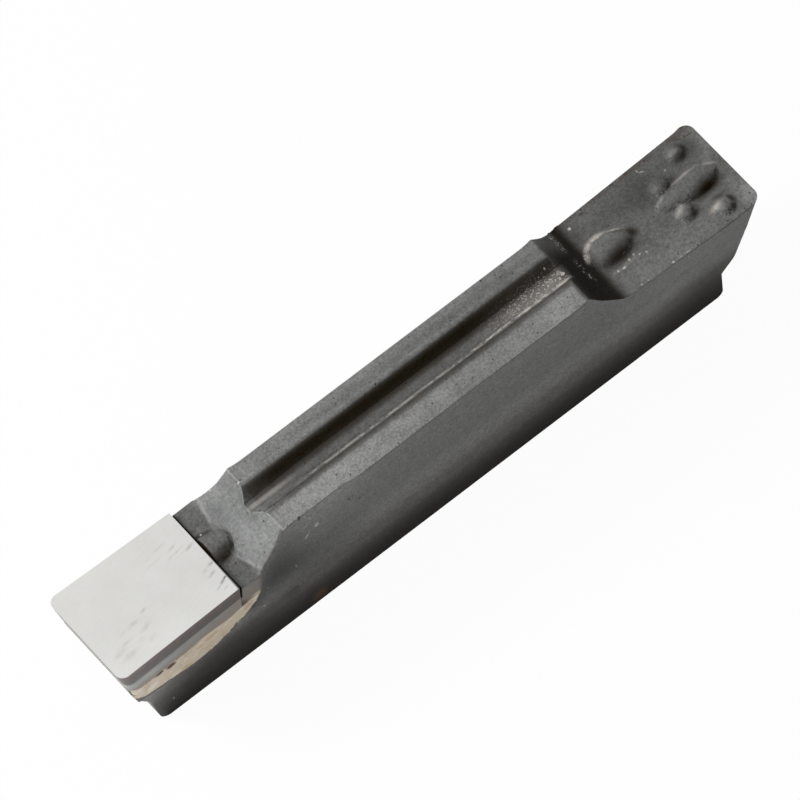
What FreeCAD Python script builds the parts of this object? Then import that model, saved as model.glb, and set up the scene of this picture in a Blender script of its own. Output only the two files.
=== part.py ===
import FreeCAD, Part
import math
import os

import Sketcher

# A 3 mm double-ended grooving insert with one end ground off and fitted with a brazed, superhard tip.
# Millimetres. The origin is under the middle of the insert, the brazed tip points to -X, +Z is up.

SIZES = {
    # whole insert
    "overall_length": 21.0,
    "overall_height": 4.87,
    "cutting_width": 3.0,
    "body_width": 2.26,
    "neck_width": 2.78,
    "flare_height": 1.1,
    "flare_fade": 0.4,
    # raised block between the two heads, with the clamping groove
    "block_front": 5.585,
    "block_rear": 5.42,
    "slope_bend_run": 0.42,
    "slope_bend_drop": 0.52,
    "slope_bend_round": 1.4,
    "clamp_groove_width": 1.02,
    "clamp_groove_floor": 0.28,
    "clamp_groove_depth": 0.28,
    "clamp_groove_offset": 0.05,
    # foot, with the groove that sits on the holder's rail
    "seat_groove_width": 1.1,
    "seat_groove_floor": 0.24,
    "seat_groove_depth": 0.3,
    # rear head, as pressed
    "rake_height": 4.09,
    "rear_edge_height": 4.19,
    "rear_land": 0.45,
    "rear_land_height": 4.12,
    "rear_neck": 4.5,
    "rear_relief_height": 2.9,
    "rear_relief_setback": 0.24,
    "rear_belly_height": 1.78,
    "rear_belly_setback": 0.51,
    "rear_foot_height": 1.06,
    "rear_foot_setback": 1.19,
    "rear_foot_round": 0.22,
    "rear_corner_radius": 0.3,
    "slope_foot_round": 0.3,
    # front head, ground
    "front_neck": 4.55,
    "clearance_angle": 11.9,
    "nose_height": 2.82,
    "belly_height": 2.1,
    "belly_setback": 0.51,
    "foot_top_height": 1.42,
    "foot_top_setback": 0.89,
    "foot_setback": 1.18,
    "foot_round": 0.4,
    # chip former pressed into both heads
    "long_ridge_height": 0.2,
    "long_ridge_half_width": 0.4,
    "long_ridge_peak": 0.95,
    "long_ridge_inner": 1.3,
    "long_ridge_outer": 0.75,
    "short_ridge_height": 0.24,
    "short_ridge_half_width": 0.48,
    "short_ridge_rear_peak": 3.85,
    "short_ridge_front_peak": 4.05,
    "short_ridge_length": 0.75,
    "dot_radius": 0.28,
    "dot_height": 0.14,
    "inner_dot_reach": 1.72,
    "inner_dot_spread": 0.5,
    "outer_dot_reach": 0.82,
    "outer_dot_spread": 1.0,
    # brazed tip
    "tip_height": 4.265,
    "tip_length": 3.88,
    "tip_rear_width": 2.83,
    "tip_side_relief": 1.5,
    "tip_corner_radius": 0.24,
    "cutting_layer_thickness": 0.56,
    "backing_thickness": 0.44,
    # braze
    "braze_thickness": 0.05,
    "seam_width": 0.05,
    "seam_depth": 0.2,
    "bead_length": 4.56,
    "bead_lowest": 2.3,
    "bead_bottom_height": 1.87,
    "bead_rear_height": 3.13,
    "bead_film": 0.02,
}

doc = FreeCAD.newDocument("grooving_insert")
sheet = doc.addObject("Spreadsheet::Sheet", "Sizes")


class Size:
    """A length that also knows how it is written in terms of the sheet's cells."""

    def __init__(self, value, text=None):
        self.value = float(value)
        self.text = text or repr(float(value))

    def join(self, sign, other, value):
        return Size(value, f"({self.text} {sign} {other.text})")

    def __add__(self, other):
        other = as_size(other)
        return self.join("+", other, self.value + other.value)

    def __sub__(self, other):
        other = as_size(other)
        return self.join("-", other, self.value - other.value)

    def __mul__(self, other):
        other = as_size(other)
        return self.join("*", other, self.value * other.value)

    def __truediv__(self, other):
        other = as_size(other)
        return self.join("/", other, self.value / other.value)

    def __neg__(self):
        return Size(-self.value, f"(-1 * {self.text})")


def as_size(number):
    return number if isinstance(number, Size) else Size(number)


def root(size):
    return Size(math.sqrt(size.value), f"sqrt({size.text})")


def tangent(degrees):
    return Size(math.tan(math.radians(degrees.value)), f"tan({degrees.text} * 1 deg)")


def fill_sheet():
    cells = {}
    for row, (name, value) in enumerate(SIZES.items(), start=1):
        sheet.set(f"A{row}", name)
        sheet.set(f"B{row}", str(value))
        sheet.setAlias(f"B{row}", name)
        cells[name] = Size(value, f"Sizes.{name}")
    doc.recompute()
    return cells


S = fill_sheet()
ZERO = Size(0)
FRONT = -S["overall_length"] / 2
REAR = S["overall_length"] / 2


def from_front(distance):
    return FRONT + distance


def from_rear(distance):
    return REAR - distance


def new_body(name):
    body = doc.addObject("PartDesign::Body", name)
    body.Label = name
    return body


def origin_plane(body, role):
    return next(item for item in body.Origin.OriginFeatures if item.Role == role)


def bind(feature, path, size):
    feature.setExpression(path, size.text)


def attach(feature, body, plane, offset=(ZERO, ZERO, ZERO)):
    feature.AttachmentSupport = [(origin_plane(body, plane), "")]
    feature.MapMode = "FlatFace"
    place = FreeCAD.Vector(*[size.value for size in offset])
    feature.AttachmentOffset = FreeCAD.Placement(place, FreeCAD.Rotation())
    for axis, size in zip("xyz", offset):
        if size is not ZERO:
            bind(feature, f"AttachmentOffset.Base.{axis}", size)


def new_sketch(body, name, plane, shift=ZERO):
    sketch = body.newObject("Sketcher::SketchObject", name)
    attach(sketch, body, plane, (ZERO, ZERO, shift))
    return sketch


def pin(sketch, geometry, position, kind, size):
    """Holds one coordinate of a point at a size measured from the sketch's origin."""
    if size.value < 0:
        constraint = Sketcher.Constraint(kind, geometry, position, -1, 1, -size.value)
        size = -size
    else:
        constraint = Sketcher.Constraint(kind, -1, 1, geometry, position, size.value)
    index = sketch.addConstraint(constraint)
    bind(sketch, f"Constraints[{index}]", size)


def pin_point(sketch, geometry, position, point):
    pin(sketch, geometry, position, "DistanceX", point[0])
    pin(sketch, geometry, position, "DistanceY", point[1])


def flat(point):
    return FreeCAD.Vector(point[0].value, point[1].value, 0)


def add_loop(sketch, points):
    """A closed run of straight lines whose corners are pinned to the sizes."""
    first = sketch.GeometryCount
    count = len(points)
    for index, point in enumerate(points):
        end = points[(index + 1) % count]
        sketch.addGeometry(Part.LineSegment(flat(point), flat(end)), False)
    for index, point in enumerate(points):
        before = first + (index - 1) % count
        sketch.addConstraint(Sketcher.Constraint("Coincident", before, 2, first + index, 1))
        pin_point(sketch, first + index, 1, point)


def outline(body, name, plane, loops, shift=ZERO):
    sketch = new_sketch(body, name, plane, shift)
    for points in loops:
        add_loop(sketch, points)
    doc.recompute()
    return sketch


def mirrored_loop(half):
    """Closes a right-hand half outline, bottom to top, with its mirror image."""
    return half + [(-across, up) for across, up in reversed(half)]


def volume(body):
    doc.recompute()
    return body.Shape.Volume


def loft(body, name, sections):
    feature = body.newObject("PartDesign::AdditiveLoft", name)
    feature.Profile = sections[0]
    feature.Sections = sections[1:]
    feature.Ruled = True
    body.Tip = feature
    doc.recompute()
    return feature


def cut_through(body, sketch, name, length):
    """A pocket to both sides of its sketch, which has to take something away."""
    before = volume(body)
    pocket = body.newObject("PartDesign::Pocket", name)
    pocket.Profile = sketch
    pocket.SideType = "Symmetric"
    pocket.Type = "Length"
    bind(pocket, "Length", length)
    if volume(body) >= before:
        raise RuntimeError(f"{name} took nothing away")
    return pocket


def pad(body, sketch, length, symmetric=False):
    feature = body.newObject("PartDesign::Pad", f"{sketch.Name}_pad")
    feature.Profile = sketch
    if symmetric:
        feature.SideType = "Symmetric"
    bind(feature, "Length", length)
    doc.recompute()
    return feature


def lean_in(body, name, angle, wanted):
    """Drafts the faces whose normal passes the test, so that they lean inwards below the top face."""
    base = body.Tip
    normals = [face.normalAt(0, 0) for face in base.Shape.Faces]
    faces = [f"Face{index}" for index, normal in enumerate(normals, start=1) if wanted(normal)]
    top = next(f"Face{index}" for index, normal in enumerate(normals, start=1) if normal.z > 0.9)
    before = volume(body)
    draft = body.newObject("PartDesign::Draft", name)
    draft.Base = (base, faces)
    draft.NeutralPlane = (base, [top])
    bind(draft, "Angle", angle)
    draft.Reversed = True
    if volume(body) >= before:
        raise RuntimeError(f"{name} leans the wrong way")
    return draft


def is_upright(edge):
    direction = edge.lastVertex().Point - edge.firstVertex().Point
    return abs(direction.z) > 0.5 * direction.Length


def is_across(edge):
    direction = edge.lastVertex().Point - edge.firstVertex().Point
    return abs(direction.y) > 0.9 * direction.Length


def fillet(body, name, radius, wanted):
    """Rounds the edges of the body whose middle point passes the test."""
    base = body.Tip
    names = []
    for index, edge in enumerate(base.Shape.Edges, start=1):
        middle = edge.valueAt((edge.FirstParameter + edge.LastParameter) / 2)
        if wanted(edge, middle):
            names.append(f"Edge{index}")
    if not names:
        raise RuntimeError(f"{name} finds no edge")
    feature = body.newObject("PartDesign::Fillet", name)
    feature.Base = (base, names)
    bind(feature, "Radius", radius)
    doc.recompute()
    return feature


# Plan form of the blank: half widths at the height of the rear cutting edge.

OVERRUN = Size(0.2)
FADE_STEPS = 4


def head_half_width(from_edge, neck):
    """Half width of a head, full behind its corner radius and tapering from there back to its neck."""
    corner = S["rear_corner_radius"]
    taper = (S["cutting_width"] - S["neck_width"]) / 2 / (neck - corner)
    return S["cutting_width"] / 2 - taper * (from_edge - corner)


def blank_stations():
    """Places along the blank with the half width there, from the front edge to the rear edge."""
    body_half = S["body_width"] / 2
    swell = (S["neck_width"] - S["body_width"]) / 2
    front_fade = S["block_front"] + S["flare_fade"] - S["front_neck"]
    rear_fade = S["block_rear"] + S["flare_fade"] - S["rear_neck"]
    front = [(from_front(-OVERRUN), head_half_width(-OVERRUN, S["front_neck"]))]
    rear = [(from_rear(-OVERRUN), head_half_width(-OVERRUN, S["rear_neck"]))]
    for step in range(FADE_STEPS + 1):
        share = step / FADE_STEPS
        half = body_half + swell * (1 - share) ** 2
        front.append((from_front(S["front_neck"] + front_fade * share), half))
        rear.append((from_rear(S["rear_neck"] + rear_fade * share), half))
    return front + rear[::-1]


def blank_section(half_width):
    """Upright to the flare height, then opening out to its half width at the cutting edge's height."""
    body_half = S["body_width"] / 2
    rise = (S["overall_height"] - S["flare_height"]) / (S["rear_edge_height"] - S["flare_height"])
    top_half = body_half + (half_width - body_half) * rise
    return mirrored_loop([
        (body_half, ZERO),
        (body_half, S["flare_height"]),
        (top_half, S["overall_height"]),
    ])


def clearance_setback(level):
    """How far the ground front face lies behind the front edge at a height."""
    return (S["tip_height"] - level) * tangent(S["clearance_angle"])


def rear_outline():
    """The rear end seen from the side, from the cutting edge down to the foot."""
    return [
        (REAR, S["rear_edge_height"]),
        (from_rear(S["rear_relief_setback"]), S["rear_relief_height"]),
        (from_rear(S["rear_belly_setback"]), S["rear_belly_height"]),
        (from_rear(S["rear_foot_setback"]), S["rear_foot_height"]),
        (from_rear(S["rear_foot_setback"]), ZERO),
    ]


def side_profile():
    """The outline seen from the side: over the top from the front, down the rear end, up the nose."""
    bend = S["overall_height"] - S["slope_bend_drop"]
    return [
        (from_front(clearance_setback(S["rake_height"])), S["rake_height"]),
        (from_front(S["front_neck"]), S["rake_height"]),
        (from_front(S["block_front"] - S["slope_bend_run"]), bend),
        (from_front(S["block_front"]), S["overall_height"]),
        (from_rear(S["block_rear"]), S["overall_height"]),
        (from_rear(S["block_rear"] - S["slope_bend_run"]), bend),
        (from_rear(S["rear_neck"]), S["rake_height"]),
        (from_rear(S["rear_land"]), S["rear_land_height"]),
        *rear_outline(),
        (from_front(S["foot_setback"]), ZERO),
        (from_front(S["foot_top_setback"]), S["foot_top_height"]),
        (from_front(S["belly_setback"]), S["belly_height"]),
        (from_front(clearance_setback(S["nose_height"])), S["nose_height"]),
    ]


def frame_round(margin):
    """A rectangle that clears the blank on every side."""
    return [
        (FRONT - margin, -margin),
        (REAR + margin, -margin),
        (REAR + margin, S["overall_height"] + margin),
        (FRONT - margin, S["overall_height"] + margin),
    ]


def groove_loop(width, floor, depth, level, outward, offset=ZERO):
    """A V groove with a narrow floor, cut into a face at a level; outward is 1 upwards, -1 downwards."""
    open_half = width / 2
    floor_half = floor / 2
    slope = (open_half - floor_half) / depth
    above = Size(0.2)
    wide_half = open_half + slope * above
    return [
        (offset - floor_half, level - depth * outward),
        (offset + floor_half, level - depth * outward),
        (offset + wide_half, level + above * outward),
        (offset - wide_half, level + above * outward),
    ]


def add_level_arc(sketch, begin, finish, level_point):
    """An arc between two points that runs level at one of them; returns its number in the sketch."""
    other = begin if finish is level_point else finish
    run = other[0].value - level_point[0].value
    rise = other[1].value - level_point[1].value
    bend = (run ** 2 + rise ** 2) / (2 * rise)
    centre = flat(level_point) + FreeCAD.Vector(0, bend, 0)
    angles = [math.atan2(point[1].value - centre.y, point[0].value - centre.x) for point in (begin, finish)]
    circle = Part.Circle(centre, FreeCAD.Vector(0, 0, 1), abs(bend))
    arc = sketch.addGeometry(Part.ArcOfCircle(circle, *angles), False)
    sketch.addConstraint(Sketcher.Constraint("Vertical", arc, 3, arc, 1 if level_point is begin else 2))
    return arc


def close_loop(sketch, first):
    """Joins each edge from a number on to the next, and the last one to the first."""
    edges = list(range(first, sketch.GeometryCount))
    for edge, following in zip(edges, edges[1:] + edges[:1]):
        sketch.addConstraint(Sketcher.Constraint("Coincident", edge, 2, following, 1))


def spindle(body, name, peak, inner, outer, half_width, height, level):
    """A drop-shaped ridge: a spindle turned about a line below the rake, with one side standing out."""
    radius = (half_width * half_width + height * height) / (height * 2)
    axis_level = level + height - radius

    def reach(visible):
        curve = (visible * visible + height * height) / (height * 2)
        return root(curve * radius * 2 - radius * radius)

    start = (peak - reach(inner), axis_level)
    end = (peak + reach(outer), axis_level)
    top = (peak, level + height)
    sketch = new_sketch(body, f"{name}_profile", "XZ_Plane")
    sketch.addGeometry(Part.LineSegment(flat(start), flat(end)), False)
    add_level_arc(sketch, end, top, top)
    add_level_arc(sketch, top, start, top)
    close_loop(sketch, 0)
    for edge, point in enumerate((start, end, top)):
        pin_point(sketch, edge, 1, point)
    doc.recompute()
    ridge = body.newObject("PartDesign::Revolution", name)
    ridge.Profile = sketch
    ridge.ReferenceAxis = (sketch, ["Edge1"])
    ridge.Angle = 360
    body.Tip = ridge
    doc.recompute()
    return ridge


def dot(body, name, along, across, level):
    """A low round dot: the cap of a ball set into the rake face."""
    radius = (S["dot_radius"] * S["dot_radius"] + S["dot_height"] * S["dot_height"]) / (S["dot_height"] * 2)
    ball = body.newObject("PartDesign::AdditiveSphere", name)
    attach(ball, body, "XY_Plane", (along, across, level + S["dot_height"] - radius))
    bind(ball, "Radius", radius)
    body.Tip = ball
    doc.recompute()
    return ball


def rake_level(reach):
    """Height of the rear rake face at a distance from the rear edge, behind its land."""
    rise = (S["rear_land_height"] - S["rake_height"]) / (S["rear_neck"] - S["rear_land"])
    return S["rake_height"] + rise * (S["rear_neck"] - reach)


def chip_former(body):
    ridge = ("short_ridge_half_width", "short_ridge_height")
    for end, peak, level in (
        ("front", from_front(S["short_ridge_front_peak"]), S["rake_height"]),
        ("rear", from_rear(S["short_ridge_rear_peak"]), rake_level(S["short_ridge_rear_peak"])),
    ):
        reach = S["short_ridge_length"]
        spindle(body, f"short_ridge_{end}", peak, reach, reach, S[ridge[0]], S[ridge[1]], level)
    spindle(
        body,
        "long_ridge",
        from_rear(S["long_ridge_peak"]),
        S["long_ridge_inner"],
        S["long_ridge_outer"],
        S["long_ridge_half_width"],
        S["long_ridge_height"],
        rake_level(S["long_ridge_peak"]),
    )
    for pair in ("inner", "outer"):
        reach = S[f"{pair}_dot_reach"]
        spread = S[f"{pair}_dot_spread"]
        for side, across in (("near", -spread), ("far", spread)):
            dot(body, f"{pair}_dot_{side}", from_rear(reach), across, rake_level(reach))


def seat_floor():
    """Height of the ground seat that the braze and the tip lie on."""
    layers = S["cutting_layer_thickness"] + S["backing_thickness"] + S["braze_thickness"]
    return S["tip_height"] - layers


def make_blank():
    body = new_body("insert_blank")
    sections = []
    for index, (along, half_width) in enumerate(blank_stations()):
        loops = [blank_section(half_width)]
        sections.append(outline(body, f"blank_section_{index}", "YZ_Plane", loops, along))
    loft(body, "blank", sections)

    wide = S["cutting_width"] * 2
    loops = [frame_round(Size(1)), side_profile()]
    cut_through(body, outline(body, "side_outline", "XZ_Plane", loops), "side_trim", wide)

    def is_foot_end(edge, middle):
        return abs(middle.z) < 1e-6 and abs(middle.y) < 1e-6

    fillet(body, "rear_foot_rounding", S["rear_foot_round"], lambda e, m: is_foot_end(e, m) and m.x > 0)
    fillet(body, "front_foot_rounding", S["foot_round"], lambda e, m: is_foot_end(e, m) and m.x < 0)

    half = S["overall_length"].value / 2

    def is_rear_corner(edge, middle):
        at_end = middle.x > half - S["rear_foot_setback"].value
        return at_end and is_upright(edge) and middle.z > S["rear_belly_height"].value

    fillet(body, "rear_corner_rounding", S["rear_corner_radius"], is_rear_corner)

    for name, front, rear, size in (
        ("slope_foot", S["front_neck"], S["rear_neck"], "slope_foot_round"),
        (
            "slope_bend",
            S["block_front"] - S["slope_bend_run"],
            S["block_rear"] - S["slope_bend_run"],
            "slope_bend_round",
        ),
    ):
        places = (front.value - half, half - rear.value)

        def is_crease(edge, middle):
            return is_across(edge) and min(abs(middle.x - place) for place in places) < 1e-6

        fillet(body, f"{name}_rounding", S[size], is_crease)

    long = S["overall_length"] * 2
    clamp = groove_loop(
        S["clamp_groove_width"],
        S["clamp_groove_floor"],
        S["clamp_groove_depth"],
        S["overall_height"],
        1,
        S["clamp_groove_offset"],
    )
    cut_through(body, outline(body, "clamp_groove_form", "YZ_Plane", [clamp]), "clamp_groove", long)
    seat = groove_loop(S["seat_groove_width"], S["seat_groove_floor"], S["seat_groove_depth"], ZERO, -1)
    cut_through(body, outline(body, "seat_groove_form", "YZ_Plane", [seat]), "seat_groove", long)

    chip_former(body)
    behind = REAR + S["rear_foot_setback"]
    loop = rear_outline() + [(behind, ZERO), (behind, S["rear_edge_height"])]
    cut_through(body, outline(body, "rear_relief_form", "XZ_Plane", [loop]), "rear_relief", wide)

    floor = seat_floor()
    wall = from_front(S["tip_length"] + S["seam_width"])
    clear = Size(1)
    top = S["overall_height"] + clear
    pocket = [(FRONT - clear, floor), (wall, floor), (wall, top), (FRONT - clear, top)]
    cut_through(body, outline(body, "tip_seat_form", "XZ_Plane", [pocket]), "tip_seat", wide)
    return body


def tip_half_width(from_edge):
    """Half width of the ground tip's top face, full behind its corner radius."""
    corner = S["tip_corner_radius"]
    taper = (S["cutting_width"] - S["tip_rear_width"]) / 2 / (S["tip_length"] - corner)
    return S["cutting_width"] / 2 - taper * (from_edge - corner)


def tip_plan():
    """Plan of the ground tip at its top face, from the near rear corner to the near front corner."""
    rear = from_front(S["tip_length"])
    rear_half = tip_half_width(S["tip_length"])
    front_half = tip_half_width(ZERO)
    return [(rear, -rear_half), (rear, rear_half), (FRONT, front_half), (FRONT, -front_half)]


def tip_slab(name, low, high):
    """One flat layer of the ground tip between two heights, with its relief and rounded corners."""
    body = new_body(name)
    floor = seat_floor() if low.value >= seat_floor().value else low
    pad(body, outline(body, f"{name}_plan", "XY_Plane", [tip_plan()], floor), S["tip_height"] - floor)
    lean_in(body, f"{name}_front_clearance", S["clearance_angle"], lambda normal: normal.x < -0.9)
    lean_in(body, f"{name}_side_relief", S["tip_side_relief"], lambda normal: abs(normal.y) > 0.9)
    half = S["overall_length"].value / 2

    def is_cutting_corner(edge, middle):
        return middle.x < 1 - half and is_upright(edge)

    fillet(body, f"{name}_corners", S["tip_corner_radius"], is_cutting_corner)

    clear = Size(1)
    left, right = FRONT - clear, from_front(S["tip_length"] + clear)
    spans = []
    if low.value > floor.value:
        spans.append(("below", floor - clear, low))
    if high.value < S["tip_height"].value:
        spans.append(("above", high, S["tip_height"] + clear))
    for side, begin, end in spans:
        loop = [(left, begin), (right, begin), (right, end), (left, end)]
        sketch = outline(body, f"{name}_{side}_form", "XZ_Plane", [loop])
        cut_through(body, sketch, f"{name}_{side}", S["cutting_width"] * 2)
    return body


def flank_half(along, level):
    """Half width of the front head at a distance from the front edge and a height."""
    swell = head_half_width(along, S["front_neck"]) - S["body_width"] / 2
    share = (level - S["flare_height"]) / (S["rear_edge_height"] - S["flare_height"])
    return S["body_width"] / 2 + swell * share


def bead_outline(body):
    """Side view of the braze that ran down the flank: straight along the nose, round below."""
    floor = seat_floor()
    belly = (from_front(S["belly_setback"]), S["belly_height"])
    lowest = (from_front(S["bead_lowest"]), S["bead_bottom_height"])
    tail = (from_front(S["bead_length"]), S["bead_rear_height"])
    corners = [
        tail,
        (from_front(S["tip_length"] + S["seam_width"]), floor),
        (from_front(clearance_setback(floor)), floor),
        (from_front(clearance_setback(S["nose_height"])), S["nose_height"]),
        belly,
    ]
    sketch = new_sketch(body, "bead_profile", "XZ_Plane")
    add_loop(sketch, frame_round(Size(1)))
    first = sketch.GeometryCount
    for begin, end in zip(corners, corners[1:]):
        sketch.addGeometry(Part.LineSegment(flat(begin), flat(end)), False)
    add_level_arc(sketch, belly, lowest, lowest)
    add_level_arc(sketch, lowest, tail, lowest)
    close_loop(sketch, first)
    for edge, point in enumerate(corners + [lowest], start=first):
        pin_point(sketch, edge, 1, point)
    doc.recompute()
    return sketch


def make_bead():
    """Braze squeezed out under the overhanging tip and ground flush with its sides."""
    body = new_body("braze_bead")
    top = seat_floor()
    film = S["bead_film"]
    low = S["bead_bottom_height"] - S["bead_film"]
    relief = (S["tip_height"] - top) * tangent(S["tip_side_relief"])
    sections = []
    for index, along in enumerate((ZERO, S["tip_length"] + S["seam_width"], S["bead_length"])):
        top_half = tip_half_width(along) - relief if index < 2 else flank_half(along, top) + film
        half = [(flank_half(along, low) + film, low), (top_half, top)]
        loops = [mirrored_loop(half)]
        sections.append(outline(body, f"bead_section_{index}", "YZ_Plane", loops, from_front(along)))
    loft(body, "bead_blank", sections)
    cut_through(body, bead_outline(body), "bead_trim", S["cutting_width"] * 2)
    return body


def cut_solid(name, base, tool):
    cut = doc.addObject("Part::Cut", name)
    cut.Base = base
    cut.Tool = tool
    cut.Label = name
    doc.recompute()
    return cut


def make_corner_waste():
    """What the grinding of the two front corners takes off everything below the tip."""
    low = S["nose_height"]
    envelope = tip_slab("corner_envelope", low, S["tip_height"])
    reach = S["tip_corner_radius"] * 2
    around = new_body("corner_surround")
    loop = [
        (FRONT - reach, low),
        (from_front(reach), low),
        (from_front(reach), S["tip_height"]),
        (FRONT - reach, S["tip_height"]),
    ]
    sketch = outline(around, "corner_surround_form", "XZ_Plane", [loop])
    pad(around, sketch, S["cutting_width"] * 2, symmetric=True)
    return cut_solid("corner_waste", around, envelope)


def make_braze_joint(insert_body, corner_waste):
    backing_bottom = S["tip_height"] - S["cutting_layer_thickness"] - S["backing_thickness"]
    bed = tip_slab("braze_bed", seat_floor(), backing_bottom)

    seam = new_body("braze_seam")
    rear = from_front(S["tip_length"])
    rear_half = flank_half(S["tip_length"], seat_floor())
    rim = S["rake_height"] - S["seam_depth"]
    loop = [
        (rear, -rear_half),
        (rear + S["seam_width"], -rear_half),
        (rear + S["seam_width"], rear_half),
        (rear, rear_half),
    ]
    pad(seam, outline(seam, "braze_seam_plan", "XY_Plane", [loop], seat_floor()), rim - seat_floor())

    rounded = cut_solid("bead_rounded", make_bead(), corner_waste)
    squeezed = cut_solid("squeezed_braze", rounded, insert_body)

    joint = doc.addObject("Part::MultiFuse", "braze_joint")
    joint.Shapes = [bed, seam, squeezed]
    joint.Label = "braze_joint"
    doc.recompute()
    return joint


def check_document(parts):
    for item in doc.Objects:
        if "Invalid" in item.State or "Error" in item.State:
            raise RuntimeError(f"{item.Name} failed: {item.State}")
    for part in parts:
        if part.Shape.isNull() or not part.Shape.isValid():
            raise RuntimeError(f"{part.Label} has no valid shape")
        if part.Shape.Volume <= 0:
            raise RuntimeError(f"{part.Label} is empty")


def main():
    backing_bottom = S["tip_height"] - S["cutting_layer_thickness"] - S["backing_thickness"]
    layer_bottom = S["tip_height"] - S["cutting_layer_thickness"]
    corner_waste = make_corner_waste()
    insert_body = cut_solid("insert_body", make_blank(), corner_waste)
    parts = [
        insert_body,
        tip_slab("cutting_layer", layer_bottom, S["tip_height"]),
        tip_slab("tip_backing", backing_bottom, layer_bottom),
        make_braze_joint(insert_body, corner_waste),
    ]
    doc.recompute()
    check_document(parts)
    os.makedirs("parts", exist_ok=True)
    for part in parts:
        part.Shape.exportStep(f"parts/{part.Label}.step")
        box = part.Shape.BoundBox
        print(part.Label, "solids", len(part.Shape.Solids), "volume", round(part.Shape.Volume, 3), box)


main()
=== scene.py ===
import math

import bmesh
import bpy
from mathutils import Matrix, Vector, noise
from mathutils.kdtree import KDTree


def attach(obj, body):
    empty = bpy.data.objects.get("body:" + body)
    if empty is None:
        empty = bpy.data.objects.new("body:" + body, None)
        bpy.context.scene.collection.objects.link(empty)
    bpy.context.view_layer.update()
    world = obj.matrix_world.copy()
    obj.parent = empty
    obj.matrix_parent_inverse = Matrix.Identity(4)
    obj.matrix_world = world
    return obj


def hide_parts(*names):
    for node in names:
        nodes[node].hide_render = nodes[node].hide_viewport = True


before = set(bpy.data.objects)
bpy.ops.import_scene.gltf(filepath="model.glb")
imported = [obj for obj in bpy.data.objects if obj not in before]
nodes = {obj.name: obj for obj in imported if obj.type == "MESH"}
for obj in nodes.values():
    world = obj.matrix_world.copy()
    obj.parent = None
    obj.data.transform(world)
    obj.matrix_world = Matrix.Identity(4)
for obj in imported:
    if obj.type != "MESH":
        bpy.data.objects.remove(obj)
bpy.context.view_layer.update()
mm = 0.001
halfLength = 10.5  # mm; patterns and marks are placed by their distance from the front cutting edge


# a socket that can stand in ordinary Python sums
class Wire:
    def __init__(self, finish, socket):
        self.finish = finish
        self.socket = socket

    def math(self, operation, *values, **settings):
        return self.finish.node("ShaderNodeMath", {"operation": operation, **settings}, values)

    def __add__(self, other):
        return self.math("ADD", self, other)

    def __sub__(self, other):
        return self.math("SUBTRACT", self, other)

    def __mul__(self, other):
        return self.math("MULTIPLY", self, other)

    def __truediv__(self, other):
        return self.math("DIVIDE", self, other)

    def __rsub__(self, other):
        return self.math("SUBTRACT", other, self)

    def __abs__(self):
        return self.math("ABSOLUTE", self)

    def greater(self, other):
        return self.math("MAXIMUM", self, other)

    def capped(self, limit):
        return self.math("MINIMUM", self, limit)

    __radd__ = __add__
    __rmul__ = __mul__


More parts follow.
